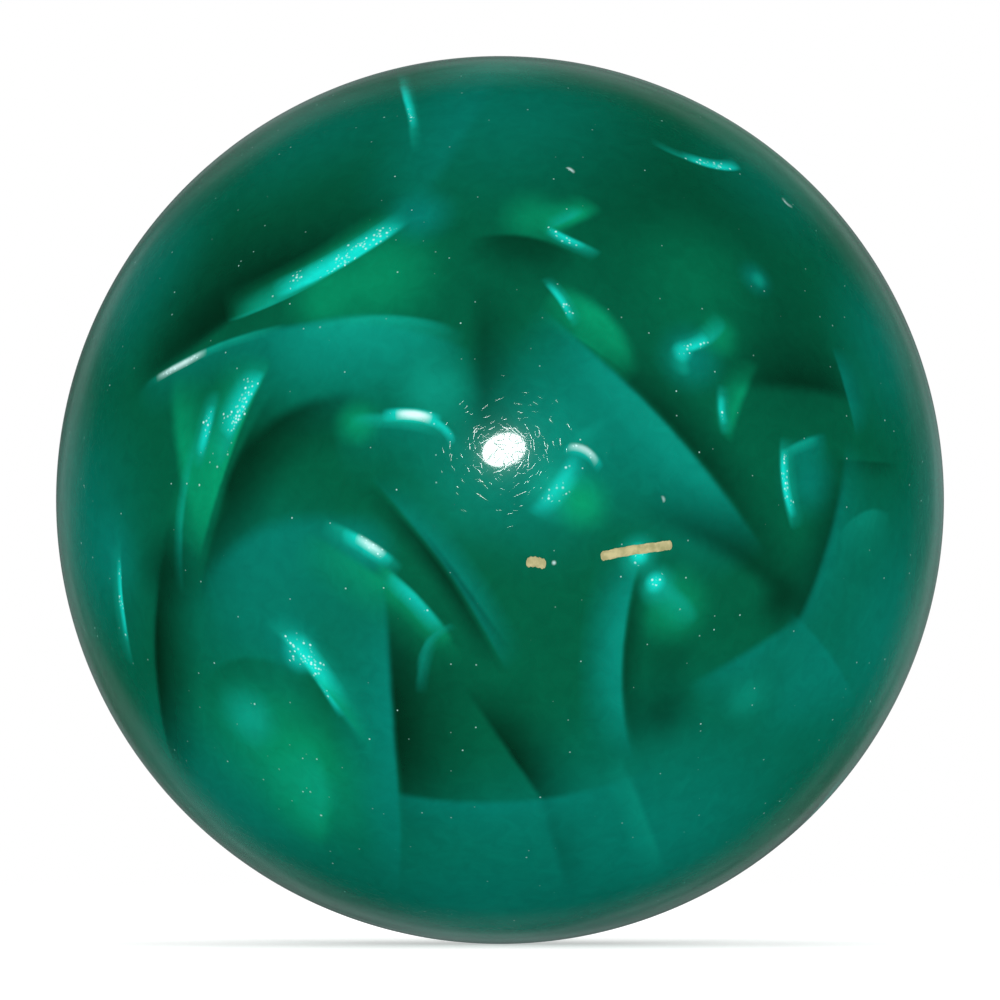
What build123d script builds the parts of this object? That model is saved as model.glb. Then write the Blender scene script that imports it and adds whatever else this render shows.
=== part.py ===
"""Marbled cue ball: a green cast-resin ball with pearl-resin folds and two cream marks.

Frame: origin at the ball's centre, +Z up, the side with the two marks faces -Y.
A place on the ball is (azimuth, elevation) in degrees: azimuth 0 is the front, at -Y,
and grows towards +X; elevation 90 is the top. Lengths are millimetres.
"""
from build123d import *
from build123d.topology import SkipClean
import math
import os
from typing import NamedTuple

BALL_DIAMETER = 57.15        # a standard pool ball, 2 1/4 in

MARK_DEPTH = 0.35            # how far both cream marks reach into the ball
LONG_MARK_LENGTH = 4.8
LONG_MARK_WIDTH = 0.6
LONG_MARK_PLACE = (17.8, -6.4)
LONG_MARK_TILT = 9.5         # degrees, its right end is the higher one
SHORT_MARK_LENGTH = 1.25
SHORT_MARK_WIDTH = 0.65
SHORT_MARK_PLACE = (4.65, -8.0)
SHORT_MARK_TILT = -3.0

FOLD_DEPTH = 2.4             # how far the pearl folds reach into the ball

BALL_RADIUS = BALL_DIAMETER / 2


class Fold(NamedTuple):
    """A fold of pearl resin: a crescent whose crisp edge runs from one tip to the other.

    Seen from outside and going from start to end, the edge bows to the left by bulge and
    the fold lies to its left by width, both in degrees; below zero, to the right.
    """
    name: str
    start: tuple
    end: tuple
    bulge: float
    width: float


FRONT_FOLDS = [
    Fold("fold_upper_left_streak", (-46, 21.5), (-12, 39.8), -2, 3.2),
    Fold("fold_left_ridge", (-54, 15.5), (-29, 23.5), 1, -2.8),
    Fold("fold_shelf", (-24, 21.5), (-3, 21.5), 2, -8),
    Fold("fold_outer_plume", (-42.5, 12), (-46, -5), 0.5, -5),
    Fold("fold_inner_plume", (-32, 17), (-41, -6), 1.5, -4),
    Fold("fold_centre_crest", (-19, 10.2), (-5, 8), 1.8, -3.2),
    Fold("fold_c_curve", (12.2, 10.8), (4.6, -1.5), 3, -5.5),
    Fold("fold_top_crest", (-40, 68), (-17, 50.5), -1, 2.5),
    Fold("fold_crown_band", (12, 73), (-9, 43), 1.5, -7),
    Fold("fold_chevron_upper", (16, 41.4), (9, 37.6), 1, 1.8),
    Fold("fold_chevron_lower", (9.6, 35), (16.2, 32.6), 0.4, -2),
    Fold("fold_sparkle_line", (6.6, 29.5), (10.2, 24), 0.3, 1.8),
    Fold("fold_long_diagonal", (12.4, 21.4), (32, -1.5), 1, -7),
    Fold("fold_right_wedge", (24, 18.6), (32.5, 23), -0.5, 3.4),
    Fold("fold_hoof", (29.6, 10.5), (36.4, 8), 4, 2.4),
    Fold("fold_hook", (47, 8), (42.5, -4), -5, 3.2),
    Fold("fold_upper_right_crest", (36, 50.8), (50, 48), 0.5, -2.6),
    Fold("fold_right_mountain", (55, -10), (64, -8.5), 5, -6),
    Fold("fold_slope_upper", (-22, -3.2), (-13.2, -8.8), 0.4, 2),
    Fold("fold_slope_lower", (-13, -10.4), (-7, -17), 0.6, 2.2),
    Fold("fold_middle_band", (-14, 0), (0, -20.5), 0.8, 5),
    Fold("fold_flame", (-32, -16.5), (-24.6, -31), 0.3, 4.5),
    Fold("fold_lower_plume", (-34, -33), (-37.5, -46), -0.5, 6),
    Fold("fold_left_rim_crest", (-58.6, -8), (-61.5, -20), 0.3, 3),
    Fold("fold_lower_curtain", (-15, -21.5), (-25, -58), -0.4, -4),
    Fold("fold_loop_band", (17, -12.5), (15, -38), 0.3, -4.2),
    Fold("fold_lower_right_line", (19, -38.5), (38, -53), 0.3, -2.2),
]

HIDDEN_FOLDS = [
    Fold("fold_right_side_sweep", (86, 24), (104, -14), 4, -9),
    Fold("fold_right_side_crest", (98, 38), (128, 30), 3, -4),
    Fold("fold_back_long_streak", (132, 18), (172, 34), -3, 5),
    Fold("fold_back_shelf", (150, 8), (188, 6), 4, -9),
    Fold("fold_back_plume", (196, 26), (207, -10), -3, 7),
    Fold("fold_back_slope", (140, -14), (168, -34), 3, -6),
    Fold("fold_back_curtain", (196, -22), (184, -58), 2, 9),
    Fold("fold_left_side_arc", (236, 30), (228, -8), 5, 7),
    Fold("fold_left_side_flame", (262, 6), (250, -30), -3, 8),
    Fold("fold_left_side_crest", (244, 50), (276, 42), 2, -5),
    Fold("fold_top_sweep", (150, 58), (214, 66), 4, -8),
    Fold("fold_under_right", (78, -38), (112, -56), -3, 7),
    Fold("fold_under_back", (232, -52), (262, -66), 3, -6),
]


def outward(place):
    """Unit vector from the ball's centre through a place on the ball."""
    azimuth, elevation = (math.radians(angle) for angle in place)
    level = math.cos(elevation)
    return Vector(level * math.sin(azimuth), -level * math.cos(azimuth), math.sin(elevation))


def fold_tool(fold):
    """The crescent cutter of a fold: two arcs between its tips, looking straight at its middle."""
    start, end = outward(fold.start), outward(fold.end)
    middle = (start + end).normalized()
    along = (end - start).normalized()
    half_length = start.get_angle(end) / 2

    def sideways(angle):
        return BALL_RADIUS * math.sin(math.radians(angle))

    tips = [(-sideways(half_length), 0), (sideways(half_length), 0)]
    crisp_edge = ThreePointArc(tips[0], (0, sideways(fold.bulge)), tips[1])
    soft_edge = ThreePointArc(tips[1], (0, sideways(fold.bulge + fold.width)), tips[0])
    face = Plane(origin=middle * BALL_RADIUS, x_dir=along, z_dir=middle)
    crescent = extrude(face * make_face([crisp_edge, soft_edge]), BALL_RADIUS / 2, both=True)
    return crescent - Sphere(BALL_RADIUS - FOLD_DEPTH)


def mark_tool(place, length, width, tilt):
    """A round-ended bar through the ball's surface, with its floor MARK_DEPTH down."""
    middle = outward(place)
    level = Vector(0, 0, 1).cross(middle).normalized()
    face = Plane(origin=middle * BALL_RADIUS, x_dir=level, z_dir=middle)
    bar = extrude(face * Rot(0, 0, tilt) * SlotOverall(length, width), length, both=True)
    return bar - Sphere(BALL_RADIUS - MARK_DEPTH)


def whole_ball():
    """The ball as two fused halves, so that its equator stays an edge."""
    upper = Sphere(BALL_RADIUS, arc_size1=0, arc_size2=90, align=None)
    lower = Sphere(BALL_RADIUS, arc_size1=-90, arc_size2=0, align=None)
    return upper + lower


def build():
    """Every node by name: the marks, the folds, then the ball with a pocket for each."""
    tools = {
        "long_mark": mark_tool(LONG_MARK_PLACE, LONG_MARK_LENGTH, LONG_MARK_WIDTH, LONG_MARK_TILT),
        "short_mark": mark_tool(SHORT_MARK_PLACE, SHORT_MARK_LENGTH, SHORT_MARK_WIDTH, SHORT_MARK_TILT),
    }
    for fold in FRONT_FOLDS + HIDDEN_FOLDS:
        tools[fold.name] = fold_tool(fold)

    nodes = {name: Sphere(BALL_RADIUS) & tool for name, tool in tools.items()}
    with SkipClean():              # cleaning would merge the two halves' faces again
        nodes["ball_body"] = whole_ball() - list(tools.values())
    return nodes


if __name__ == "__main__":
    os.makedirs("parts", exist_ok=True)
    for name, solid in build().items():
        export_step(solid, f"parts/{name}.step")
        print(f"{name}: {len(solid.solids())} solid, {solid.volume:.2f} mm3")
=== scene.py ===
"""Looks of the marbled cue ball: pearl-green cast resin, two cream marks, mica and polish wear.

Places on the ball are (azimuth, elevation) in degrees, as in the solid model: azimuth 0 is the
front, at -Y, and grows towards +X; elevation 90 is the top.
"""

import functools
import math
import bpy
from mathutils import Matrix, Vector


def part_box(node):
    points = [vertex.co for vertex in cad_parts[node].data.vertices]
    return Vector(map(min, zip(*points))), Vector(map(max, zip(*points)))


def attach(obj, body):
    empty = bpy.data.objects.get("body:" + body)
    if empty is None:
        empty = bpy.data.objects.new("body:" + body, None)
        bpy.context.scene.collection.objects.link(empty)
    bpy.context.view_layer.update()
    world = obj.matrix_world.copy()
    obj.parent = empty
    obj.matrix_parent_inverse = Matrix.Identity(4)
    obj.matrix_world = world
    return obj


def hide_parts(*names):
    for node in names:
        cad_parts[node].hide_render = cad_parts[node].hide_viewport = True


bl_info = {
    "name": "Marbled Cue Ball",
    "version": (1, 0, 0),
    "blender": (4, 5, 0),
    "location": "3D View > Sidebar > Cue Ball",
    "description": "Dresses the solid cue ball in marbled resin and sets up its studio",
    "category": "Object",
}

from typing import NamedTuple

import bmesh
import bpy
from mathutils import Quaternion, Vector

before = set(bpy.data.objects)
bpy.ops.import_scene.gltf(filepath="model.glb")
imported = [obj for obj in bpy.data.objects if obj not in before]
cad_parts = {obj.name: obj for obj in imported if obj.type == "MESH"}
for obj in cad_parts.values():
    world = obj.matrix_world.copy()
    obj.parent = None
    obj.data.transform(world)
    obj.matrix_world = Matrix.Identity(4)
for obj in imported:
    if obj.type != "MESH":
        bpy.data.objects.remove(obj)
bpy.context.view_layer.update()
BALL_LOW, BALL_HIGH = (Vector(corner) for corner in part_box("ball_body"))
BALL_RADIUS = (BALL_HIGH.z - BALL_LOW.z) / 2
FOLD_NODES = [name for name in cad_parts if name.startswith("fold_")]
MM = 0.001


# ---------------------------------------------------------------- the marbling

# Laid in the lightest tones, a fold is a painted highlight; laid in the deep tone along another
# fold's crisp edge, it is painted shade.
class Fold(NamedTuple):
    """A sheet of pearl pigment that folds over along one crisp edge and fades to one side.

    Seen from outside and going from start to end, the edge bows to the left by bulge and the
    fold fades to its left over width; below zero, to the right. Angles are in degrees.
    """
    start: tuple
    end: tuple
    bulge: float
    width: float
    tone: str
    strength: float
    edge: float = 1.0
    fall: float = 1.5


class Cloud(NamedTuple):
    """A soft round patch where the pigment is denser or thinner."""
    place: tuple
    radius: float
    tone: str
    strength: float


# Among these layers the lightest tones are painted highlights on the pearl's crests, and the deep
# folds along a crisp edge are partly painted shade.
MARBLING = [
    # broad tones
    Cloud((0, 62), 28, "sea", 0.6),
    Cloud((-46, 32), 16, "deep", 0.3),
    Cloud((-30, 46), 14, "deep", 0.1),
    Cloud((32, 40), 26, "deep", 0.4),
    Cloud((44, 20), 16, "deep", 0.4),
    Cloud((-70, -5), 24, "sea", 0.8),
    Cloud((-72, 30), 22, "sea", 0.8),
    Cloud((-52, 56), 20, "sea", 0.5),
    Cloud((68, 20), 18, "sea", 0.7),
    Cloud((80, 2), 18, "sea", 0.8),
    Cloud((-4, 77), 12, "pearl", 0.35),
    Cloud((62, 46), 18, "sea", 0.45),
    Cloud((66, -18), 28, "sea", 0.8),
    Cloud((-32, -16), 22, "sea", 0.6),
    Cloud((-36, -37), 20, "leaf", 0.8),
    Cloud((-58, -44), 26, "sea", 0.8),
    Cloud((34, -50), 34, "sea", 0.9),
    Cloud((-4, -66), 36, "sea", 0.9),
    Cloud((0, -76), 16, "pearl", 0.35),
    # the three clouds round the highlight: the resin's own tone, partly lifted as a painted glow
    # round the highlight
    Cloud((4, 6), 19, "sea", 0.9),
    Cloud((-5, 2), 11, "pearl", 0.2),
    Cloud((9, 9), 9, "pearl", 0.3),
    Cloud((30, 30), 14, "leaf", 0.25),
    # upper left: the dark wedge, partly painted shade, the streak with its painted highlight and
    # the leaf green under it
    Fold((-58, 13), (-13, 41), -2.5, 16, "deep", 1.1, 3.0, 1.2),
    Fold((-56, 15), (-30, 32), -1.5, 7, "deep", 0.9, 2.5, 1.0),
    Cloud((-18, 30), 11, "leaf", 0.7),
    Cloud((-26, 27), 7, "leaf", 0.7),
    Fold((-41.7, 23.3), (-14.4, 38.9), -3.0, 5.5, "leaf", 1.1, 0.8, 1.2),
    Fold((-40, 23.6), (-15.0, 38.4), -2.2, 3.6, "pearl", 1.3, 0.7, 1.2),
    Fold((-34, 26.8), (-14.6, 38.5), -1.6, 3, "bright", 1.7, 1.0, 1.0),
    Fold((-41.5, 23.4), (-26, 30), -0.9, 0.6, "pearl", 1.0, 0.5, 1.0),
    Cloud((-13.5, 39.5), 6, "sea", 1.0),
    # left ridge and the shelf it runs into
    Fold((-42, 19.6), (-3, 19), 3.0, -14, "sea", 1.1, 1.4, 0.8),
    Fold((-34, 21.4), (-4.5, 21.8), 1.9, -12, "pearl", 0.7, 1.4, 1.0),
    Fold((-28.3, 22.0), (-6.7, 22.7), 1.4, -1.8, "pearl", 0.8, 0.9, 1.2),
    Fold((-57, 14), (-30, 23.2), 0.4, -6, "sea", 0.7, 1.5, 1.0),
    Fold((-55.4, 15.0), (-31, 23.2), 0.4, -1.3, "pearl", 1.0, 0.6, 1.0),
    Fold((-53.2, 16.0), (-44.0, 19.7), -0.1, -1.0, "white", 1.1, 0.7, 1.0),
    Fold((-3.6, 30), (-3.2, 7), -0.1, 8, "deep", 0.75, 3.4, 1.0),
    # dark arch, partly painted shade, and the two plumes with their painted highlights
    Fold((-17.5, 13.6), (-39.3, -2.0), -5.6, 9, "deep", 1.1, 3.0, 1.0),
    Fold((-31, 15), (-44, -14), -0.6, 8, "deep", 0.9, 1.2, 1.0),
    Fold((-49.6, 16), (-42.2, -5), -0.1, 7, "leaf", 1.0, 2.5, 0.8),
    Fold((-42.8, 8), (-46.2, -12), -0.4, -1.6, "pearl", 0.9, 0.9, 1.0),
    Fold((-37.6, 2), (-44.2, -13), 0.5, -3, "green", 0.9, 1.6, 1.0),
    Fold((-32.2, 18.5), (-42.6, -8), 0.2, -7.5, "leaf", 1.2, 0.8, 0.8),
    Fold((-32.6, 17.6), (-38.8, 3.5), 0.1, -5, "pearl", 1.0, 0.9, 1.2),
    Fold((-33.2, 16.6), (-37.7, 7.6), 0.2, -3.8, "bright", 1.1, 0.9, 1.2),
    Fold((-40.2, 14.2), (-42, 3.8), 0.2, -2.6, "pearl", 1.2, 1.6, 1.0),
    Fold((-40.6, 12.2), (-42, 5.4), 0.2, -1.5, "bright", 1.1, 1.2, 1.0),
    # centre crest, with painted highlights along it
    Fold((-22, 8.8), (-2, 6), 2.6, -8, "sea", 0.6, 2.0, 1.0),
    Cloud((-8.6, 14), 7, "pearl", 0.6),
    Cloud((-18.8, 9.9), 4, "leaf", 0.8),
    Fold((-20, 10.6), (-6.6, 9.4), 0.7, -1.8, "pearl", 1.3, 1.2, 1.0),
    Fold((-15.6, 11.4), (-7.4, 10.6), 0.5, -1.6, "bright", 1.3, 1.0, 0.8),
    Fold((-13.8, 11.3), (-8.7, 10.7), 0.3, -1.1, "white", 1.6, 0.9, 0.8),
    Fold((-9.6, 10.6), (-5.6, 7.4), 0.8, -1.2, "bright", 0.9, 1.0, 1.0),
    # fold right of the centre, with painted highlights along it
    Fold((14.9, 10.8), (8.8, 7.0), -0.4, 1.8, "pearl", 0.8, 1.4, 1.0),
    Cloud((7.2, 1.5), 5.5, "pearl", 0.9),
    Cloud((10.6, -0.2), 5, "leaf", 1.0),
    Fold((9.8, 6.8), (3.6, -1.6), 0.6, 2.8, "bright", 0.8, 1.8, 1.0),
    Fold((8.4, 7.0), (13.4, 4.2), 1.0, -1.5, "bright", 1.2, 1.0, 1.0),
    Fold((8.8, 7.0), (12.8, 4.8), 0.9, -1.0, "white", 1.3, 0.9, 0.9),
    # top
    Fold((2, 78), (-15, 38), 2.5, -10, "sea", 0.7, 3.0, 0.8),
    Fold((-51.6, 72.9), (-18.0, 50.8), 0.4, 1.6, "pearl", 1.2, 0.8, 1.2),
    Fold((-38, 68.5), (-20.5, 55.8), 0.1, 1.1, "bright", 1.2, 0.7, 1.2),
    # chevron and the dark hollow under it
    Cloud((5.5, 38.8), 6, "leaf", 0.6),
    Fold((-5, 35.3), (12.0, 32.5), 2.0, -8, "deep", 0.9, 1.2, 1.0),
    Fold((6.8, 36.2), (17.6, 40.6), -0.2, 4.5, "leaf", 1.3, 2.0, 1.0),
    Fold((7.8, 37.2), (14.4, 40.1), -0.2, 1.8, "pearl", 1.0, 0.8, 1.0),
    Fold((7.4, 37.9), (15.9, 33.5), -0.2, -2.2, "pearl", 1.2, 0.8, 1.0),
    Fold((7.8, 37.6), (13.6, 34.6), -0.2, -1.4, "bright", 1.0, 0.7, 1.0),
    # sparkle line, a painted highlight, and the leaf green patch beside it
    Fold((8.0, 28.6), (18.6, 15.6), 2.6, -6, "leaf", 1.4, 3.2, 0.7),
    Fold((9.4, 21.8), (17.2, 16.2), 0.2, 4, "leaf", 1.1, 0.6, 1.0),
    Fold((6.0, 29.6), (10.3, 22.4), 0.5, 1.7, "pearl", 1.2, 1.0, 1.0),
    Fold((6.6, 28.8), (9.8, 23.4), 0.3, 1.0, "bright", 1.1, 0.8, 1.0),
    # long diagonal
    Fold((5, 26), (37, -7), 0.0, -15, "sea", 1.2, 1.0, 0.8),
    Fold((9, 22), (33, -2), 0.0, -6, "pearl", 0.45, 1.0, 1.0),
    Fold((8.5, 23), (38, -8), 0.2, 6, "deep", 0.9, 1.8, 1.0),
    # right side
    Cloud((26.6, 18.4), 6, "sea", 0.9),
    Cloud((31.6, 21.4), 4, "leaf", 0.6),
    Fold((25.0, 20.6), (25.9, 15.8), 0.2, -2.6, "pearl", 1.0, 1.4, 1.0),
    Cloud((25.4, 19.2), 1.8, "bright", 0.6),
    Fold((24.4, 19.0), (33.4, 23.2), -1.2, 2.6, "pearl", 1.2, 1.0, 1.0),
    Fold((24.9, 19.2), (30, 21.0), -0.5, 1.6, "bright", 1.0, 0.9, 1.0),
    Fold((37.4, 17.8), (31.0, 7.2), -0.7, -4, "leaf", 1.0, 1.4, 1.0),
    Fold((30.3, 15), (30.1, 8.2), -0.4, 1.8, "pearl", 1.1, 1.2, 1.0),
    Fold((30.3, 13.6), (30.2, 9.6), -0.3, 1.0, "bright", 0.8, 0.9, 1.0),
    Cloud((41.0, 29.6), 3.4, "sea", 0.7),
    Cloud((41.5, 29.4), 1.6, "pearl", 0.6),
    Fold((31, 14.6), (57, 12.2), 0.6, 9, "deep", 1.0, 2.4, 1.0),
    Fold((52, 20), (53.5, 8), 0.0, 6, "sea", 0.8, 0.6, 1.0),
    Cloud((43.6, 2.5), 6.5, "sea", 0.8),
    Fold((38.6, 6.0), (47.5, 8.4), 0.4, -4, "sea", 1.0, 0.8, 1.0),
    Fold((38.8, 5.9), (46, 8.0), 0.4, -1.4, "pearl", 1.0, 0.8, 1.0),
    Fold((40.8, -4), (39.1, 8.2), 1.0, -2.6, "pearl", 1.2, 0.8, 1.0),
    Fold((40.6, -2.4), (39.2, 6.6), 0.8, -1.3, "bright", 1.3, 0.7, 1.0),
    Fold((34.0, 52.8), (54, 47.8), -2.6, 2.0, "pearl", 1.0, 0.9, 1.0),
    Fold((39.6, 49.6), (54, 48.0), -1.3, 2.2, "bright", 1.2, 1.0, 1.0),
    Fold((48, 5.1), (64, 4.6), 0.0, -2.5, "deep", 0.5, 0.6, 1.0),
    # right dark corner and the line down to it
    Fold((16, -1.4), (48, -18), 2.2, 8, "deep", 0.9, 3.4, 1.0),
    Fold((51.5, 6), (42, -20), 0.5, -6, "deep", 0.8, 2.0, 1.0),
    Fold((51.5, 8), (41, -22), 0.5, 9, "sea", 0.7, 1.6, 1.0),
    Fold((49.3, -4.4), (60.8, -1.9), 1.9, -7, "pearl", 0.4, 0.8, 1.0),
    Cloud((39.6, -13.2), 5, "deep", 0.7),
    Fold((27, -24.5), (45, -14.5), 0.2, -11, "sea", 0.8, 1.6, 0.9),
    Fold((42, -14.3), (63, -26.8), 0.4, -11, "sea", 0.8, 0.8, 0.9),
    Cloud((47, -25), 10, "sea", 0.6),
    Cloud((38.1, -26.2), 5, "pearl", 0.35),
    # slope
    Fold((-43.5, -12.3), (-15.5, -3.5), 5.6, -14, "sea", 0.9, 4.0, 0.8),
    Cloud((-18, -6.5), 6, "sea", 0.9),
    Cloud((-2, -11), 9, "green", 0.6),
    Fold((-26, -4), (-4.5, -20.5), 2.0, -6, "leaf", 0.7, 1.4, 1.0),
    Fold((-23, -2.5), (-12.4, -8.6), 0.7, -2.8, "pearl", 1.2, 1.0, 1.1),
    Fold((-20.4, -3.6), (-13.6, -7.6), 0.2, -1.9, "bright", 1.1, 1.0, 1.0),
    Fold((-18.6, -4.4), (-14.6, -6.9), 0.1, -1.2, "white", 1.0, 0.9, 1.0),
    Fold((-15.6, -7.8), (-6.0, -18.2), 0.3, -3.4, "leaf", 1.6, 1.0, 0.9),
    Fold((-14.6, -8.8), (-6.9, -17.0), 0.3, -2.1, "pearl", 1.4, 1.0, 0.9),
    Fold((-14.2, -9.2), (-7.4, -16.6), 0.3, -2.2, "bright", 0.6, 0.9, 1.0),
    Fold((-6.2, -15.8), (-11.6, -22.6), -1.5, 1.2, "pearl", 1.1, 0.8, 1.0),
    Fold((-9.6, -17.4), (-11.9, -25.5), -0.3, 1.6, "pearl", 1.1, 0.8, 1.0),
    Fold((-17.4, 2.6), (0.4, -22.5), 1.9, -2.6, "deep", 1.0, 1.0, 1.0),
    Fold((-17.0, 3.0), (1, -22.5), 1.8, 4, "sea", 1.0, 0.7, 1.0),
    Fold((-11, -2.5), (1.5, -19.5), 0.4, -1.6, "deep", 0.6, 0.8, 1.0),
    # left dark band and rim crest
    Cloud((-49, -9), 7, "deep", 0.6),
    Fold((-47, -1), (-66.5, -38), 0.5, 8.5, "deep", 1.1, 1.4, 1.0),
    Cloud((-61, -7), 8, "sea", 0.8),
    Fold((-58.4, -5), (-62, -22), 0.1, -2.8, "pearl", 1.0, 0.9, 1.1),
    Fold((-58.8, -7.2), (-61.2, -18.6), 0.0, -1.1, "bright", 1.2, 0.6, 1.0),
    # flame, the darker band round it, and the lower left
    Fold((-47, -24.5), (-29, -22.5), 3.6, -6, "green", 0.8, 1.6, 1.0),
    Fold((-31.5, -17.6), (-20.4, -36.2), 1.2, -4.8, "green", 0.95, 0.9, 1.0),
    Cloud((-29.4, -18.6), 5.5, "sea", 0.9),
    Cloud((-28.2, -20.0), 3.4, "bright", 0.6),
    Fold((-33, -15.5), (-21.3, -33), 1.2, 5.5, "pearl", 1.0, 1.1, 1.2),
    Fold((-31, -17.2), (-24.0, -29.2), 0.9, 3.2, "bright", 1.4, 1.2, 1.0),
    Fold((-28, -22), (-20.3, -34.4), 0.8, 2.6, "leaf", 1.0, 0.8, 1.0),
    Cloud((-40.0, -29.0), 6, "pearl", 0.7),
    Cloud((-34.6, -39.6), 6.5, "pearl", 0.55),
    Fold((-35.3, -25.2), (-41.2, -34.4), 0.5, -5, "pearl", 0.3, 2.4, 1.0),
    Fold((-29.4, -31), (-39.4, -51), 2.1, -10, "leaf", 1.0, 3.0, 0.8),
    Fold((-30.0, -33), (-38.6, -48.6), 2.1, -5, "pearl", 0.5, 2.6, 1.0),
    # curtain
    Fold((-15, -9), (-21, -52), 1.3, -9, "sea", 1.1, 0.9, 0.9),
    Fold((-15.2, -9), (-19.2, -50), 0.9, 12, "deep", 1.0, 1.4, 0.9),
    Fold((-15.4, -18), (-18, -44), 0.5, 5, "deep", 0.4, 1.5, 1.0),
    Fold((-16.4, -33), (-28, -61), 0.9, -5, "sea", 0.8, 0.7, 1.0),
    # hollow in the lower middle and the paler ground below it
    Fold((-5.5, -24), (10, -45.5), 0.6, 8, "deep", 1.0, 1.1, 1.0),
    Fold((-26, -38.4), (27, -36), -2.2, -13, "sea", 1.0, 1.6, 0.9),
    Fold((6.0, -40), (18.6, -62), 0.3, 5, "deep", 0.35, 1.6, 1.0),
    # loop
    Cloud((24.0, -28), 7, "deep", 0.6),
    Cloud((23.4, -21), 6, "deep", 0.35),
    Cloud((23.4, -13.6), 6.5, "leaf", 0.7),
    Fold((19.5, -3.5), (21.9, -36), -3.7, -7, "sea", 1.3, 0.9, 0.9),
    Fold((19.5, -5), (21.6, -34), -3.5, -5, "pearl", 0.3, 1.2, 1.0),
    Fold((19.6, -4.6), (21.3, -35), -3.3, 3.2, "deep", 0.8, 1.2, 1.0),
    Fold((19.4, -9.6), (27.4, -15.4), 0.9, -4, "pearl", 0.8, 1.8, 1.0),
    Cloud((20.9, -10.8), 3.4, "pearl", 0.9),
    Cloud((20.6, -10.5), 1.8, "bright", 0.9),
    Cloud((18.1, -7.0), 3.6, "pearl", 0.9),
    Cloud((18.1, -6.9), 1.8, "bright", 0.9),
    Fold((18.6, -34.0), (42.4, -57), 0.2, -3.5, "pearl", 0.45, 1.2, 1.0),
    # nicks
    Fold((58.9, 42.6), (60.0, 40.8), -0.5, 0.8, "white", 0.7, 0.5, 1.0),
    Fold((12.6, 47.9), (14.0, 46.7), 0.1, 0.6, "white", 1.0, 0.4, 1.0),
    Fold((21.0, 0.8), (21.4, -0.4), 0.1, 0.6, "white", 0.9, 0.4, 1.0),
    Cloud((6.9, -8.0), 0.4, "white", 0.7),
]

# The side away from the front: start, end, bulge and width of each fold.
BACK_FOLDS = [
    ((86, 24), (104, -14), 4, -9), ((98, 38), (128, 30), 3, -4), ((132, 18), (172, 34), -3, 5),
    ((150, 8), (188, 6), 4, -9), ((196, 26), (207, -10), -3, 7), ((140, -14), (168, -34), 3, -6),
    ((196, -22), (184, -58), 2, 9), ((236, 30), (228, -8), 5, 7), ((262, 6), (250, -30), -3, 8),
    ((244, 50), (276, 42), 2, -5), ((150, 58), (214, 66), 4, -8), ((78, -38), (112, -56), -3, 7),
    ((232, -52), (262, -66), 3, -6),
]
BACK_CLOUDS = [
    Cloud((112, 6), 30, "sea", 0.6), Cloud((88, 54), 24, "leaf", 0.5),
    Cloud((136, -44), 26, "sea", 0.6), Cloud((160, 40), 26, "deep", 0.5),
    Cloud((178, -20), 24, "deep", 0.5), Cloud((214, 8), 28, "sea", 0.6),
    Cloud((240, -30), 24, "leaf", 0.5), Cloud((252, 28), 24, "deep", 0.4),
    Cloud((200, 68), 28, "sea", 0.5), Cloud((280, 4), 18, "sea", 0.5),
    Cloud((120, -14), 14, "deep", 0.5), Cloud((0, -84), 26, "sea", 0.5),
]
# What each of those folds is laid with: where on it the layer starts and ends, its bulge and its
# width as multiples of the fold's own, then tone, strength, edge and fall.
BACK_LAYERS = [
    # The first layer lays painted shade beside the fold's edge, and the last a painted highlight
    # along it.
    (0.0, 1.0, 1.0, -2.0, "deep", 1.0, 1.2, 1.0),
    (0.0, 1.0, 1.0, 2.4, "sea", 1.2, 0.9, 0.9),
    (0.0, 1.0, 1.0, 0.9, "pearl", 1.0, 0.8, 1.2),
    (0.2, 0.7, 0.3, 0.3, "bright", 1.2, 0.7, 1.2),
]


def back_marbling():
    """Each fold on the far side: its painted shade, its pearl and the painted highlight along its
    edge.
    """
    layers = list(BACK_CLOUDS)
    for start, end, bulge, width in BACK_FOLDS:
        for first, last, bow, spread, tone, strength, edge, fall in BACK_LAYERS:
            layers.append(Fold(along(start, end, first), along(start, end, last), bow * bulge,
                               spread * width, tone, strength, edge, fall))
    return layers


def along(start, end, share):
    """A place part of the way from start to end."""
    return tuple(a + (b - a) * share for a, b in zip(start, end))


# ---------------------------------------------------------------- what the user may change

# Of these, deep is partly painted shade, and the two lightest are painted highlights; the lightest
# is also the nicks' own colour.
TONES = ("deep", "green", "leaf", "sea", "pearl", "bright", "white")


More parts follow.
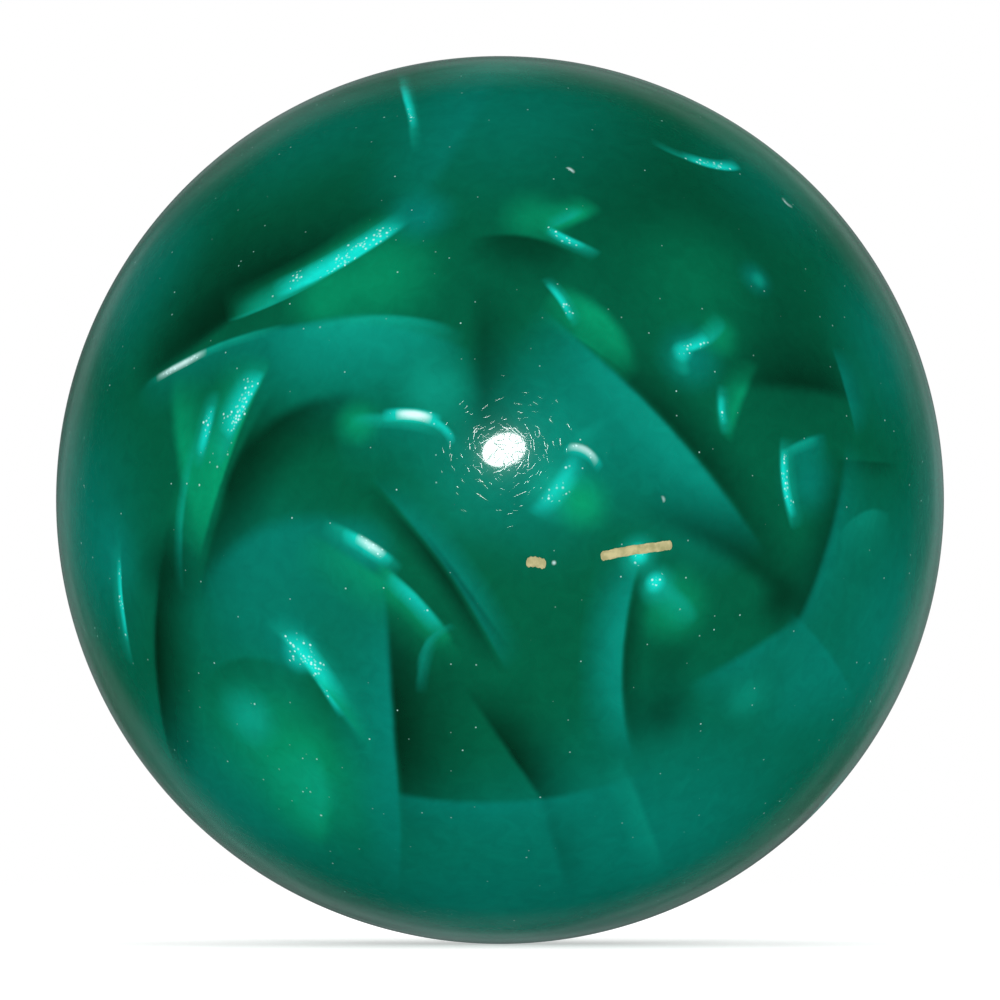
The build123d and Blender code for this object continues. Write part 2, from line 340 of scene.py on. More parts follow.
class BallSettings(bpy.types.PropertyGroup):
    """The resin's colours, its polish and the light on it."""

    # Also laid as painted shade along the crisp edges of the pearl folds.
    deep: bpy.props.FloatVectorProperty(
        name="Deep Green", description="Where the resin holds almost no pearl",
        subtype="COLOR", size=3, min=0, max=1, default=(0.0006, 0.024, 0.010))
    green: bpy.props.FloatVectorProperty(
        name="Resin Green", description="The base resin",
        subtype="COLOR", size=3, min=0, max=1, default=(0.0008, 0.102, 0.048))
    leaf: bpy.props.FloatVectorProperty(
        name="Leaf Green", description="The warmer green where the resin is clear over pearl",
        subtype="COLOR", size=3, min=0, max=1, default=(0.0012, 0.290, 0.130))
    sea: bpy.props.FloatVectorProperty(
        name="Sea Green", description="Thin pearl in the resin",
        subtype="COLOR", size=3, min=0, max=1, default=(0.0010, 0.195, 0.145))
    pearl: bpy.props.FloatVectorProperty(
        name="Pearl", description="The pearl folds",
        subtype="COLOR", size=3, min=0, max=1, default=(0.003, 0.34, 0.24))
    # Painted highlight: the crests of the pearl folds, where they catch the lamp.
    bright: bpy.props.FloatVectorProperty(
        name="Bright Pearl", description="The crests of the pearl folds",
        subtype="COLOR", size=3, min=0, max=1, default=(0.005, 0.74, 0.62))
    # Painted highlight on the crests that face straight out; the white nicks in the polish use it
    # too, as their own colour.
    white: bpy.props.FloatVectorProperty(
        name="White Pearl", description="The few crests that face straight out",
        subtype="COLOR", size=3, min=0, max=1, default=(0.72, 0.99, 0.97))
    # The glints of the mica flakes, painted near white into the resin's colour.
    mica: bpy.props.FloatVectorProperty(
        name="Mica", description="The flakes that catch the light",
        subtype="COLOR", size=3, min=0, max=1, default=(0.62, 0.97, 0.93))
    polish: bpy.props.FloatProperty(
        name="Polish Roughness", description="Roughness of the polished outer skin",
        min=0, max=1, default=0.035)
    even_light: bpy.props.FloatProperty(
        name="Even Light", description="Strength of the even studio light on the ball",
        min=0, default=0.85)


# ---------------------------------------------------------------- small helpers

def settings():
    """The ball's own settings in this scene."""
    return bpy.context.scene.cue_ball


def outward(place):
    """Unit vector from the ball's centre through a place on the ball."""
    azimuth, elevation = (math.radians(angle) for angle in place)
    level = math.cos(elevation)
    return Vector((level * math.sin(azimuth), -level * math.cos(azimuth), math.sin(elevation)))


def opaque(colour):
    """The colour with its alpha."""
    return (*colour, 1.0)


def link_object(name, mesh):
    """A new object in the scene for the mesh."""
    piece = bpy.data.objects.new(name, mesh)
    bpy.context.scene.collection.objects.link(piece)
    return piece


class Tree:
    """Short calls that add and join the nodes of one tree."""

    def __init__(self, tree):
        self.nodes, self.links = tree.nodes, tree.links

    def put(self, kind, inputs=(), **options):
        """Adds a node, sets its options and feeds its inputs."""
        node = self.nodes.new(kind)
        for option, value in options.items():
            setattr(node, option, value)
        for key, value in dict(inputs).items():
            self.feed(node.inputs[key], value)
        return node

    def feed(self, socket, value):
        """Links the value to the socket if it's a socket too, and else sets it."""
        if isinstance(value, bpy.types.NodeSocket):
            self.links.new(value, socket)
        else:
            socket.default_value = value

    def math(self, operation, first, second=0.0, third=0.0, clamp=False):
        node = self.put("ShaderNodeMath", {0: first, 1: second, 2: third},
                        operation=operation, use_clamp=clamp)
        return node.outputs[0]

    def vector(self, operation, first, second=(0, 0, 0)):
        node = self.put("ShaderNodeVectorMath", {0: first, 1: second}, operation=operation)
        return node.outputs["Value" if operation in ("DOT_PRODUCT", "DISTANCE") else "Vector"]

    def ramp(self, value, low, high, start=0.0, end=1.0, kind="SMOOTHSTEP"):
        """From start, where the value is low, to end, where it's high."""
        node = self.put("ShaderNodeMapRange", {"Value": value, "From Min": low, "From Max": high,
                                               "To Min": start, "To Max": end},
                        interpolation_type=kind)
        return node.outputs["Result"]

    def mix(self, share, under, over):
        """A colour over the one under it. The inputs for colours are 6 and 7, the output is 2."""
        return self.put("ShaderNodeMix", {0: share, 6: under, 7: over}, data_type="RGBA").outputs[2]

    def noise(self, place, scale, detail=2.0, roughness=0.5, warp=0.0):
        return self.put("ShaderNodeTexNoise", {"Vector": place, "Scale": scale, "Detail": detail,
                                               "Roughness": roughness, "Distortion": warp})


def new_group(name, inputs, outputs):
    """A shader group with named sockets, its tree helper and its two end nodes."""
    group = bpy.data.node_groups.new(name, "ShaderNodeTree")
    for label, kind in inputs:
        group.interface.new_socket(label, in_out="INPUT", socket_type=kind)
    for label, kind in outputs:
        group.interface.new_socket(label, in_out="OUTPUT", socket_type=kind)
    tree = Tree(group)
    return group, tree, tree.put("NodeGroupInput").outputs, tree.put("NodeGroupOutput").inputs


@functools.cache
def shared(maker):
    """A group that is made once, for every material that uses it."""
    return maker()


FLOAT, VECTOR, COLOR = "NodeSocketFloat", "NodeSocketVector", "NodeSocketColor"


# ---------------------------------------------------------------- shader groups

LAYER_ENDS = [("Color", COLOR), ("Next Place", VECTOR)]


def lay_tone(tree, given, out, mask):
    """Ends a layer's group: its tone over the colour under it, and the place for the next layer.

    The place moves on by a millionth of the colour. That can't be seen, but it makes the renderer
    take the layers one after another; side by side they don't fit in its memory for one material.
    """
    colour = tree.mix(mask, given["Under"], given["Tone"])
    place = tree.vector("MULTIPLY_ADD", colour, (1e-6,) * 3)
    tree.feed(place.node.inputs[2], given["Place"])
    tree.feed(out["Color"], colour)
    tree.feed(out["Next Place"], place)


def fold_group():
    """Lays one fold over the colour under it."""
    group, tree, given, out = new_group("Pearl Fold", [
        ("Place", VECTOR), ("Under", COLOR), ("Tone", COLOR), ("Middle", VECTOR),
        ("Across", VECTOR), ("Tightness", FLOAT), ("Tip", FLOAT), ("Bow", FLOAT),
        ("Before", FLOAT), ("Past", FLOAT), ("Width", FLOAT), ("Fall", FLOAT),
        ("Strength", FLOAT)], LAYER_ENDS)
    nearness = tree.vector("DOT_PRODUCT", given["Place"], given["Middle"])
    taper = tree.math("MULTIPLY_ADD", nearness, given["Tightness"], given["Tip"], clamp=True)
    straight = tree.vector("DOT_PRODUCT", given["Place"], given["Across"])
    inward = tree.math("MULTIPLY_ADD", taper, given["Bow"], straight)
    crisp = tree.ramp(inward, given["Before"], given["Past"], 0.0, given["Strength"])
    fade = tree.ramp(inward, 0.0, given["Width"], 1.0, 0.0, "LINEAR")
    shape = tree.math("MULTIPLY", crisp, tree.math("POWER", fade, given["Fall"]))
    lay_tone(tree, given, out, tree.math("MULTIPLY", shape, taper))
    return group


def cloud_group():
    """Lays one soft cloud over the colour under it."""
    group, tree, given, out = new_group("Pearl Cloud", [
        ("Place", VECTOR), ("Under", COLOR), ("Tone", COLOR), ("Middle", VECTOR), ("Radius", FLOAT),
        ("Strength", FLOAT)], LAYER_ENDS)
    away = tree.vector("DISTANCE", given["Place"], given["Middle"])
    lay_tone(tree, given, out, tree.ramp(away, 0.0, given["Radius"], given["Strength"], 0.0))
    return group


def sideways(angle):
    """How far off a plane through the centre a place this many degrees aside is."""
    return math.sin(math.radians(angle))


def ends_and_middle(fold):
    """Unit vectors to the fold's start, its end and halfway between them."""
    start, end = outward(fold.start), outward(fold.end)
    return start, end, (start + end).normalized()


def fold_values(fold):
    """What the fold's group is fed. Tightness and tip taper it from 1 halfway to 0 at its ends."""
    start, end, middle = ends_and_middle(fold)
    left = middle.cross((end - start).normalized())
    side = 1 if fold.width > 0 else -1
    tightness = 2 * (2 / (end - start).length) ** 2
    edge = sideways(fold.edge) / 2
    return {"Middle": middle, "Across": left * side, "Tightness": tightness, "Tip": 1 - tightness,
            "Bow": -sideways(fold.bulge) * side, "Before": -edge, "Past": edge,
            "Width": sideways(abs(fold.width)), "Fall": fold.fall, "Strength": fold.strength}


def cloud_values(cloud):
    """What the cloud's group is fed. Its radius is a straight line through the ball."""
    return {"Middle": outward(cloud.place), "Radius": 2 * sideways(cloud.radius / 2),
            "Strength": cloud.strength}


STIRS = ((3.0, 0.008), (10.0, 0.004))   # noise that bends the folds: waves in a radius, and reach
REACH_SPARE = 0.03                      # more than noise moves any fold, in ball radii


def touches(layer, half):
    """Whether a layer reaches the half of the ball on this side of the plane y = 0."""
    if isinstance(layer, Fold):
        start, end, middle = ends_and_middle(layer)
        reach = math.asin((end - start).length / 2)
    else:
        middle, reach = outward(layer.place), math.radians(layer.radius)
    return middle.y * half > -math.sin(reach + REACH_SPARE)


def lay_marbling(tree, place, colour, layers, tones):
    """All the layers, one over the other, on the base colour."""
    makers = {Fold: (shared(fold_group), fold_values), Cloud: (shared(cloud_group), cloud_values)}
    for layer in layers:
        group, values = makers[type(layer)]
        node = tree.put("ShaderNodeGroup", node_tree=group)
        given = {"Place": place, "Under": colour, "Tone": tones[layer.tone], **values(layer)}
        for name, value in given.items():
            tree.feed(node.inputs[name], value)
        colour, place = node.outputs["Color"], node.outputs["Next Place"]
    return colour


# ---------------------------------------------------------------- materials

def new_material(name):
    """A material, the helper for its tree and its shader."""
    material = bpy.data.materials.new(name)
    material.use_nodes = True
    tree = Tree(material.node_tree)
    shader = material.node_tree.nodes["Principled BSDF"]
    return material, tree, shader


def on_ball(tree):
    """Object coordinates counted in ball radii."""
    place = tree.put("ShaderNodeTexCoord").outputs["Object"]
    scaled = tree.put("ShaderNodeMapping", {"Vector": place, "Scale": (1 / BALL_RADIUS,) * 3})
    return scaled.outputs[0]


MIDDLE_GREY = (0.5, 0.5, 0.5)


def nudged(tree, place, by, reach):
    """The place, moved along each axis by up to half of reach as the colour says."""
    moved = tree.vector("MULTIPLY_ADD", tree.vector("SUBTRACT", by, MIDDLE_GREY), (reach,) * 3)
    tree.feed(moved.node.inputs[2], place)
    return moved


# Cells in a ball's radius; each cell holds one scratch.
SCRATCH_CROWDS = (19.0, 26.0, 33.0, 41.0, 52.0, 64.0)
SCRATCH_WIDTH = 0.0010       # from its middle to its edge, in ball radii
SCRATCH_ENDS = (0.2, 0.6)    # a scratch fades out between these shares of its cell
SCRATCH_DEPTH = 0.0034 * MM
SCRATCH_SHALLOWEST = 0.2     # as a share of the deepest


def scratch_group():
    """Short buffing scratches that run every way over the ball, as a height from 0 to 1."""
    group, tree, given, out = new_group("Hairline Scratches", [("Place", VECTOR), ("Width", FLOAT)],
                                        [("Height", FLOAT)])
    height = 0.0
    for crowd in SCRATCH_CROWDS:
        cell = tree.put("ShaderNodeTexVoronoi", {"Vector": given["Place"], "Scale": crowd}).outputs
        away = tree.vector("SUBTRACT", given["Place"], cell["Position"])
        aim = tree.vector("SUBTRACT", cell["Color"], MIDDLE_GREY)
        across = tree.vector("NORMALIZE", tree.vector("CROSS_PRODUCT", aim, given["Place"]))
        beside = tree.math("ABSOLUTE", tree.vector("DOT_PRODUCT", away, across))
        line = tree.ramp(beside, 0.0, given["Width"], 1.0, 0.0)
        line = tree.math("MULTIPLY", line, tree.ramp(cell["Distance"], *SCRATCH_ENDS, 1.0, 0.0))
        luck = tree.put("ShaderNodeSeparateColor", {0: cell["Color"]}).outputs[1]
        depth = tree.ramp(luck, 0.0, 1.0, SCRATCH_SHALLOWEST, 1.0, "LINEAR")
        line = tree.math("MULTIPLY", line, depth)
        height = tree.math("MAXIMUM", height, line)
    tree.feed(out["Height"], height)
    return group


CROWDED_MICA = (130.0, 0.5)     # cells in a ball's radius, and a flake's radius in its cell
STRAY_MICA = (34.0, 0.085)
STRAY_SHARE = 0.35              # share of its cells that hold a stray flake
FLAKE_CORE = 0.35               # share of its radius over which a flake is whole
FLAKE_DIMMEST = 0.25            # the brightest is 1


def mica_group():
    """Painted glints of mica flakes: a crowd of tiny ones where Crowd is high, and a few strays
    everywhere.
    """
    group, tree, given, out = new_group("Mica Flakes", [("Place", VECTOR), ("Crowd", FLOAT)],
                                        [("Crowded", FLOAT), ("Stray", FLOAT)])
    kinds = (("Crowded", CROWDED_MICA, given["Crowd"]), ("Stray", STRAY_MICA, STRAY_SHARE))
    for name, (scale, size), share in kinds:
        cells = tree.put("ShaderNodeTexVoronoi", {"Vector": given["Place"], "Scale": scale}).outputs
        dot = tree.ramp(cells["Distance"], FLAKE_CORE * size, size, 1.0, 0.0)
        luck = tree.put("ShaderNodeSeparateColor", {0: cells["Color"]}).outputs
        chosen = tree.math("LESS_THAN", luck[0], share)
        level = tree.ramp(luck[1], 0.0, 1.0, FLAKE_DIMMEST, 1.0, "LINEAR")
        tree.feed(out[name], tree.math("MULTIPLY", tree.math("MULTIPLY", dot, level), chosen))
    return group


GRAIN_SCALE = 26.0           # noise in a ball's radius, as the other two scales
GRAIN_TONE = (0.92, 1.08)    # how the grain shades the resin
CLUMP_SCALE = 16.0
CLUMP_SHARE = (0.05, 1.0)    # share of the flakes that is there, between clumps and in them
MICA_GREEN = (0.24, 0.70)    # the resin's green where flakes begin and where they crowd most
MICA_CROWD = 0.9             # share of the cells that hold a flake there
CROWDED_COVER = 0.9          # how far a flake's painted glint hides the resin
STRAY_COVER = 0.7
SMUDGE_SCALE = 2.2
SMUDGE_WORST = 1.6           # how many times rougher a smudge makes the polish


def marbled_resin(name, half):
    """The resin for the front half of the ball, -1, or for the back half, 1."""
    material, tree, shader = new_material(name)
    chosen = settings()
    tones = {tone: opaque(getattr(chosen, tone)) for tone in TONES}
    place = on_ball(tree)

    # The marbling, with its painted shade and painted highlights: the folds and clouds, on a place
    # that noise has stirred a little.
    stirred = place
    for scale, reach in STIRS:
        stirred = nudged(tree, stirred, tree.noise(place, scale).outputs["Color"], reach)
    stirred = tree.vector("NORMALIZE", stirred)

    layers = [layer for layer in back_marbling() + MARBLING if touches(layer, half)]
    colour = lay_marbling(tree, stirred, tones["green"], layers, tones)

    # The grain, then painted glints of flakes that crowd in clumps where the colour's green is
    # strong.
    grain = tree.noise(stirred, GRAIN_SCALE, detail=4.0, roughness=0.6, warp=0.8).outputs[0]
    grain = tree.ramp(grain, 0.3, 0.7, *GRAIN_TONE, "LINEAR")
    colour = tree.put("ShaderNodeVectorMath", {0: colour, "Scale": grain},
                      operation="SCALE").outputs[0]
    pearly = tree.put("ShaderNodeSeparateColor", {0: colour}).outputs[1]
    clumps = tree.ramp(tree.noise(place, CLUMP_SCALE).outputs[0], 0.38, 0.60, *CLUMP_SHARE)
    crowd = tree.ramp(pearly, *MICA_GREEN, 0.0, MICA_CROWD)
    crowd = tree.math("MULTIPLY", crowd, clumps)
    mica = tree.put("ShaderNodeGroup", {"Place": place, "Crowd": crowd},
                    node_tree=shared(mica_group)).outputs
    # the flakes' painted glints, laid over the resin
    for name, cover in (("Crowded", CROWDED_COVER), ("Stray", STRAY_COVER)):
        colour = tree.mix(tree.math("MULTIPLY", mica[name], cover), colour, opaque(chosen.mica))

    # The polish and its wear.
    scratches = tree.put("ShaderNodeGroup", {"Place": place, "Width": SCRATCH_WIDTH},
                         node_tree=shared(scratch_group))
    bump = tree.put("ShaderNodeBump", {"Height": scratches.outputs["Height"], "Strength": 1.0,
                                       "Distance": SCRATCH_DEPTH}, invert=True)
    smudges = tree.noise(place, SMUDGE_SCALE, detail=4.0, roughness=0.6).outputs[0]
    dull = tree.ramp(smudges, 0.35, 0.65, chosen.polish, SMUDGE_WORST * chosen.polish)

    tree.feed(shader.inputs["Base Color"], colour)
    tree.feed(shader.inputs["Roughness"], dull)
    tree.feed(shader.inputs["Normal"], bump.outputs[0])
    shader.inputs["IOR"].default_value = 1.5
    shader.inputs["Coat Weight"].default_value = 0.1        # a haze over the polish
    shader.inputs["Coat Roughness"].default_value = 0.16
    shader.inputs["Sheen Weight"].default_value = 0.01
    shader.inputs["Sheen Roughness"].default_value = 0.25
    shader.inputs["Sheen Tint"].default_value = (0.75, 0.95, 0.9, 1)
    return material


CREAM_DARK, CREAM_PALE = (0.36, 0.34, 0.15), (0.55, 0.49, 0.24)
CREAM_SPECKLE = 60.0           # noise in a ball's radius


def cream_filling():
    """The speckled resin in the two marks."""
    material, tree, shader = new_material("cream_filling")
    specks = tree.noise(on_ball(tree), CREAM_SPECKLE, detail=3.0).outputs[0]
    speckle = tree.ramp(specks, 0.35, 0.7)
    colour = tree.mix(speckle, opaque(CREAM_DARK), opaque(CREAM_PALE))
    tree.feed(shader.inputs["Base Color"], colour)
    tree.feed(shader.inputs["Roughness"], tree.ramp(speckle, 0, 1, 0.35, 0.6))
    return material


# ---------------------------------------------------------------- the ball

BALL_STEPS = 129       # points along each edge of the cube that is blown up into the ball


def ball_tree(front, back):
    """A cube, evenly divided, blown up into a ball."""
    group = bpy.data.node_groups.new("Blown Cube Ball", "GeometryNodeTree")
    group.interface.new_socket("Radius", in_out="INPUT", socket_type=FLOAT)
    group.interface.new_socket("Steps", in_out="INPUT", socket_type="NodeSocketInt")
    group.interface.new_socket("Geometry", in_out="OUTPUT", socket_type="NodeSocketGeometry")
    tree = Tree(group)
    given = tree.put("NodeGroupInput").outputs
    steps = given["Steps"]
    cube = tree.put("GeometryNodeMeshCube", {"Size": (2, 2, 2), "Vertices X": steps,
                                             "Vertices Y": steps, "Vertices Z": steps})
    merged = tree.put("GeometryNodeMergeByDistance", {"Geometry": cube.outputs[0]})
    flat = tree.put("GeometryNodeInputPosition").outputs[0]
    even = tree.vector("TANGENT", tree.vector("MULTIPLY", flat, (math.pi / 4,) * 3))
    blown = tree.put("ShaderNodeVectorMath", {0: tree.vector("NORMALIZE", even),
                                              "Scale": given["Radius"]},
                     operation="SCALE").outputs[0]
    moved = tree.put("GeometryNodeSetPosition", {"Geometry": merged.outputs[0], "Position": blown})
    smooth = tree.put("GeometryNodeSetShadeSmooth", {"Geometry": moved.outputs[0]})
    whole = tree.put("GeometryNodeRealizeInstances", {"Geometry": smooth.outputs[0]})
    dressed = tree.put("GeometryNodeSetMaterial", {"Geometry": whole.outputs[0], "Material": front})
    spot = tree.put("GeometryNodeInputPosition").outputs[0]
    depth = tree.put("ShaderNodeSeparateXYZ", {0: spot}).outputs["Y"]
    behind = tree.math("GREATER_THAN", depth, 0.0)
    dressed = tree.put("GeometryNodeSetMaterial", {"Geometry": dressed.outputs[0],
                                                   "Selection": behind, "Material": back})
    tree.put("NodeGroupOutput", {"Geometry": dressed.outputs[0]})
    return group


def plain_mesh_from(name, group, values):
    """Runs a Geometry Nodes tree and keeps its result as a plain mesh piece."""
    carrier = link_object(name, bpy.data.meshes.new(name + "_seed"))
    modifier = carrier.modifiers.new("nodes", "NODES")
    modifier.node_group = group
    sockets = {item.name: item.identifier for item in group.interface.items_tree
               if item.in_out == "INPUT"}
    for label, value in values.items():
        modifier[sockets[label]] = value
    evaluated = carrier.evaluated_get(bpy.context.evaluated_depsgraph_get())
    mesh = bpy.data.meshes.new_from_object(evaluated)
    carrier.modifiers.clear()
    carrier.data = mesh
    mesh.name = name
    return carrier


class CUEBALL_OT_ball(bpy.types.Operator):
    """Make the marbled resin ball"""
    bl_idname = "cueball.ball"
    bl_label = "Resin Ball"

    def execute(self, context):
        halves = marbled_resin("marbled_resin_front", -1), marbled_resin("marbled_resin_back", 1)
        ball = plain_mesh_from("resin_ball", ball_tree(*halves),
                               {"Radius": BALL_RADIUS, "Steps": BALL_STEPS})
        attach(ball, "root")
        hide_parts("ball_body", *FOLD_NODES)
        return {"FINISHED"}


MARK_PROUD = 0.02 * MM      # how far a filling stands over the polished ball
MARK_SUNK = 0.25 * MM       # and how far it reaches in
MARK_ROWS = 60              # steps along a filling
MARK_COLUMNS = 6            # steps across it
MARK_TIP = 0.4              # how much of each end narrows, in widths
MARK_POINTED = 0.9          # 1 would narrow the ends to a point
MARK_SAG = 0.08             # how far the dash bends up and down, in widths
MARK_WAVES = 40             # radians of its rim's ripple from end to end


class Mark(NamedTuple):
    """A cream dash: its middle, its length and width, and the tilt that lifts its right end."""
    place: tuple
    length: float
    width: float
    tilt: float
    raggedness: float


MARKS = {
    "long_mark": Mark((17.8, -6.4), 4.8 * MM, 0.6 * MM, 9.5, 0.05),
    "short_mark": Mark((4.65, -8.0), 1.25 * MM, 0.65 * MM, -3.0, 0.08),
}


def mark_mesh(name, mark):
    """A blunt-ended, slightly ragged dash that hugs the ball, with its skirt sunk in."""
    middle = outward(mark.place)
    level = Vector((0, 0, 1)).cross(middle).normalized()
    up = middle.cross(level)
    tilt = math.radians(mark.tilt)
    ahead = level * math.cos(tilt) + up * math.sin(tilt)
    across = up * math.cos(tilt) - level * math.sin(tilt)
    tip = MARK_TIP * mark.width

    def point(row, column, height):
        # The rows crowd at the ends, where the dash narrows.
        share = -math.cos(math.pi * row / MARK_ROWS)
        x = share * mark.length / 2
        beyond = max(0.0, abs(x) - (mark.length / 2 - tip)) / tip
        blunt = (1 - MARK_POINTED * beyond ** 3) ** 0.5
        side = 2 * column / MARK_COLUMNS - 1
        # Two waves that are out of step make the rim ragged.
        phase = MARK_WAVES * row / MARK_ROWS + 2 * side
        ragged = 1 + mark.raggedness * (math.sin(phase) + 0.7 * math.sin(2.7 * phase + 1))
        sag = MARK_SAG * mark.width * math.cos(2.6 * share + 0.6)
        y = side * mark.width / 2 * blunt * ragged + sag
        on_skin = (middle * BALL_RADIUS + ahead * x + across * y).normalized()
        return on_skin * (BALL_RADIUS + height)

    mesh = bpy.data.meshes.new(name)
    shape = bmesh.new()
    top, base = ([[shape.verts.new(point(row, column, height))
                   for column in range(MARK_COLUMNS + 1)] for row in range(MARK_ROWS + 1)]
                 for height in (MARK_PROUD, -MARK_SUNK))
    for row in range(MARK_ROWS):
        for column in range(MARK_COLUMNS):
            corners = ((row, column), (row + 1, column), (row + 1, column + 1), (row, column + 1))
            shape.faces.new([top[i][j] for i, j in corners])
            shape.faces.new([base[i][j] for i, j in reversed(corners)])
        for column in (0, MARK_COLUMNS):
            shape.faces.new((top[row][column], base[row][column],
                             base[row + 1][column], top[row + 1][column]))
    for row in (0, MARK_ROWS):
        for column in range(MARK_COLUMNS):
            shape.faces.new((top[row][column], top[row][column + 1],
                             base[row][column + 1], base[row][column]))
    bmesh.ops.recalc_face_normals(shape, faces=shape.faces)
    shape.to_mesh(mesh)
    shape.free()
    return mesh


class CUEBALL_OT_marks(bpy.types.Operator):
    """Make the two cream marks"""
    bl_idname = "cueball.marks"
    bl_label = "Cream Marks"

    def execute(self, context):
        filling = cream_filling()
        for node, mark in MARKS.items():
            piece = link_object(node + "_filling", mark_mesh(node + "_filling", mark))
            piece.data.materials.append(filling)
            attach(piece, "root")
            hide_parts(node)
        return {"FINISHED"}


# ---------------------------------------------------------------- the studio

# Metres, where nothing else is said.
CAMERA_DISTANCE = 2.0
FRAME_SHARE = 0.888          # the ball's radius as a share of half the frame
SENSOR = 36.0                # millimetres
FLOOR_SOLID = 4.0            # ball radii: the floor is whole up to here
FLOOR_END = 11.0             # and has faded out here
FLOOR_GREY = (0.9, 0.9, 0.9)
FLOOR_LIFT = 0.50            # how strongly the floor glows for the camera
FLOOR_GLOW = 0.30            # and how strongly for the underside of the ball
TENT_RADIUS = 1.5
TENT_COLOUR = (0.80, 1.0, 0.97)
TENT_GLOW = (0.002, 0.20)    # in front and at the sides, and behind the ball
TENT_TURN = (0.66, 0.95)     # how far back it turns paler, in tent radii
LAMP_DISTANCE = 0.6
LAMP_PLACE = (1.0, 12.6)     # seen from the ball
LAMP_SIZE = (0.115, 0.085)
LAMP_POWER = 0.85            # watts
LAMP_TILT = 20               # degrees


def round_sheet(name, radius, height):
    """A flat disc that faces up."""
    steps = 96
    turns = [2 * math.pi * step / steps for step in range(steps)]
    rim = [(radius * math.cos(turn), radius * math.sin(turn), height) for turn in turns]
    mesh = bpy.data.meshes.new(name)
    mesh.from_pydata(rim, [], [tuple(range(steps))])
    return link_object(name, mesh)


def floor_material():
    """Pale and plain, and faded out before its edge could show."""
    material, tree, shader = new_material("pale_floor")
    place = tree.put("ShaderNodeTexCoord").outputs["Object"]
    level = tree.vector("MULTIPLY", place, (1, 1, 0))
    away = tree.vector("DISTANCE", level, (0, 0, 0))
    there = tree.ramp(away, FLOOR_SOLID * BALL_RADIUS, FLOOR_END * BALL_RADIUS, 1.0, 0.0)
    shader.inputs["Base Color"].default_value = opaque(FLOOR_GREY)
    shader.inputs["Roughness"].default_value = 0.9
    shader.inputs["Specular IOR Level"].default_value = 0.0
    shader.inputs["Emission Color"].default_value = (1, 1, 1, 1)
    seen = tree.put("ShaderNodeLightPath").outputs["Is Camera Ray"]
    glow = tree.ramp(seen, 0, 1, FLOOR_GLOW, FLOOR_LIFT, "LINEAR")
    tree.feed(shader.inputs["Emission Strength"], glow)
    tree.feed(shader.inputs["Alpha"], there)
    return material


def tent_material():
    """Dark cloth round the set, a little lighter behind the ball, that only gloss can see."""
    material, tree, shader = new_material("dark_tent")
    place = tree.put("ShaderNodeTexCoord").outputs["Object"]
    depth = tree.vector("DOT_PRODUCT", place, (0, 1 / TENT_RADIUS, 0))
    folds = tree.noise(place, 3.0, detail=3.0).outputs[0]
    light = tree.math("MULTIPLY", tree.ramp(depth, *TENT_TURN, *TENT_GLOW),
                      tree.ramp(folds, 0.3, 0.7, 0.5, 1.5))
    shader.inputs["Base Color"].default_value = (0, 0, 0, 1)
    shader.inputs["Specular IOR Level"].default_value = 0.0
    shader.inputs["Emission Color"].default_value = opaque(TENT_COLOUR)
    tree.feed(shader.inputs["Emission Strength"], light)
    material.cycles.emission_sampling = "NONE"
    return material


def show_only_to_gloss(piece):
    """Hides the piece from everything but reflections."""
    piece.visible_camera = False
    piece.visible_diffuse = False
    piece.visible_transmission = False
    piece.visible_volume_scatter = False
    piece.visible_shadow = False


def add_camera(scene):
    """Looks level at the front of the ball."""
    data = bpy.data.cameras.new("camera")
    camera = bpy.data.objects.new("camera", data)
    scene.collection.objects.link(camera)
    half_view = math.asin(BALL_RADIUS / CAMERA_DISTANCE)
    data.sensor_width = SENSOR
    data.lens = FRAME_SHARE * SENSOR / 2 / math.tan(half_view)
    data.clip_end = 100
    camera.location = (0, -CAMERA_DISTANCE, 0)
    camera.rotation_euler = (math.pi / 2, 0, 0)
    scene.camera = camera


def add_world(scene):
    """Even light for the surface, and a white background for what the camera and gloss see."""
    world = bpy.data.worlds.new("studio")
    world.use_nodes = True
    scene.world = world
    tree = Tree(world.node_tree)
    background = world.node_tree.nodes["Background"]
    path = tree.put("ShaderNodeLightPath").outputs
    seen = tree.math("MAXIMUM", path["Is Camera Ray"], path["Is Glossy Ray"])
    seen = tree.math("MAXIMUM", seen, path["Is Transmission Ray"])
    strength = tree.ramp(seen, 0, 1, settings().even_light, 1.0, "LINEAR")
    tree.feed(background.inputs["Strength"], strength)
    background.inputs["Color"].default_value = (1, 1, 1, 1)


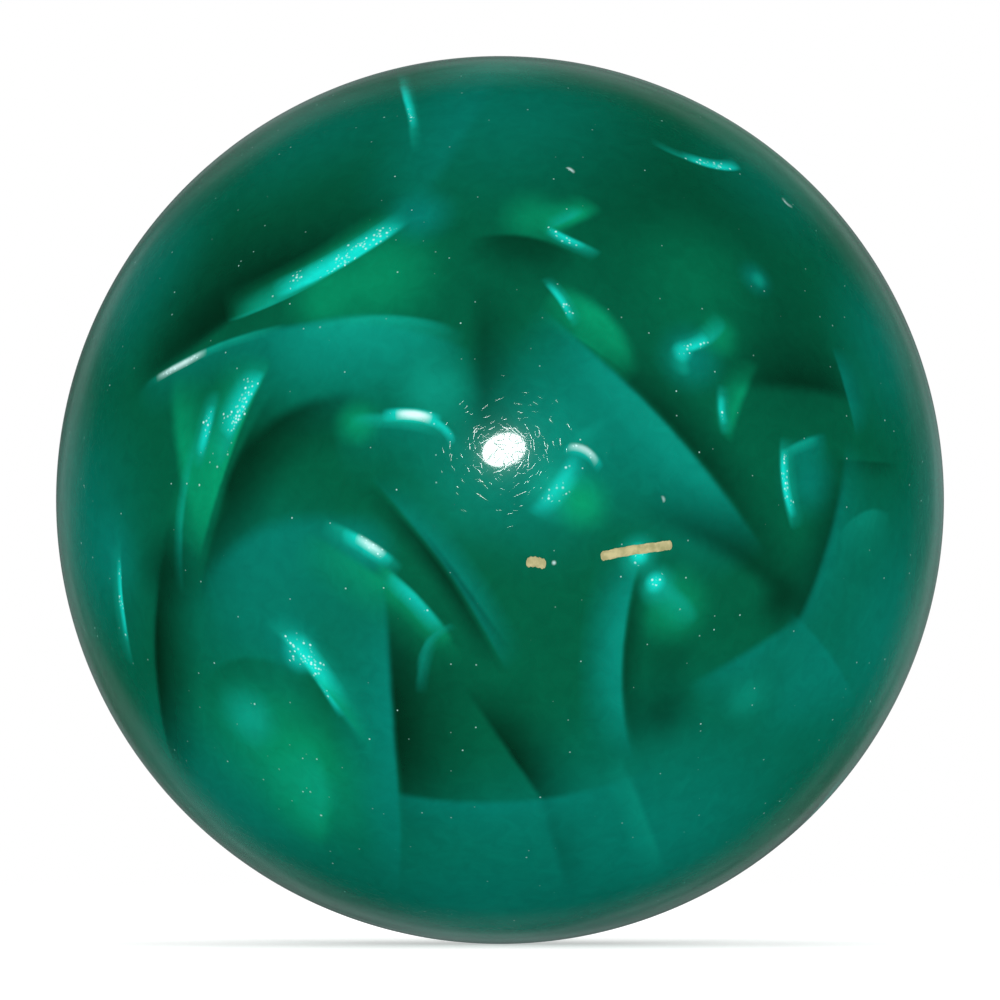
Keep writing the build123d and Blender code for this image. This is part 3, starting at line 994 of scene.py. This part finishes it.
def add_lamp(scene):
    """The small lamp whose reflection is the highlight."""
    data = bpy.data.lights.new("front_lamp", "AREA")
    data.shape = "ELLIPSE"
    data.size, data.size_y = LAMP_SIZE
    data.energy = LAMP_POWER
    lamp = bpy.data.objects.new("front_lamp", data)
    towards = outward(LAMP_PLACE)
    lamp.location = towards * LAMP_DISTANCE
    lamp.rotation_euler = (towards.to_track_quat("Z", "Y")
                           @ Quaternion((0, 0, 1), math.radians(LAMP_TILT))).to_euler()
    scene.collection.objects.link(lamp)


class CUEBALL_OT_stage(bpy.types.Operator):
    """Set up the floor, the lights and the camera"""
    bl_idname = "cueball.stage"
    bl_label = "Studio"

    def execute(self, context):
        scene = context.scene
        scene.view_settings.view_transform = "Standard"
        add_camera(scene)
        add_world(scene)
        add_lamp(scene)

        floor = round_sheet("floor", FLOOR_END * BALL_RADIUS, -BALL_RADIUS)
        floor.data.materials.append(floor_material())
        floor.visible_glossy = False

        tent_mesh = bpy.data.meshes.new("tent")
        shape = bmesh.new()
        bmesh.ops.create_uvsphere(shape, u_segments=48, v_segments=24, radius=TENT_RADIUS)
        bmesh.ops.reverse_faces(shape, faces=shape.faces)
        shape.to_mesh(tent_mesh)
        shape.free()
        tent = link_object("tent", tent_mesh)
        tent.data.materials.append(tent_material())
        show_only_to_gloss(tent)
        return {"FINISHED"}


class CUEBALL_PT_panel(bpy.types.Panel):
    """Lists the steps that dress the ball"""
    bl_idname = "CUEBALL_PT_panel"
    bl_label = "Cue Ball"
    bl_space_type = "VIEW_3D"
    bl_region_type = "UI"
    bl_category = "Cue Ball"

    def draw(self, context):
        for name in settings().__annotations__:
            self.layout.prop(settings(), name)
        for step in STEPS:
            self.layout.operator(step.bl_idname)


STEPS = (CUEBALL_OT_ball, CUEBALL_OT_marks, CUEBALL_OT_stage)
CLASSES = (BallSettings, *STEPS, CUEBALL_PT_panel)


def register():
    for each in CLASSES:
        bpy.utils.register_class(each)
    bpy.types.Scene.cue_ball = bpy.props.PointerProperty(type=BallSettings)


def unregister():
    del bpy.types.Scene.cue_ball
    for each in reversed(CLASSES):
        bpy.utils.unregister_class(each)


def main():
    """Registers the add-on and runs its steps."""
    register()
    for step in STEPS:
        area, name = step.bl_idname.split(".")
        getattr(getattr(bpy.ops, area), name)()


if __name__ == "__main__":
    main()
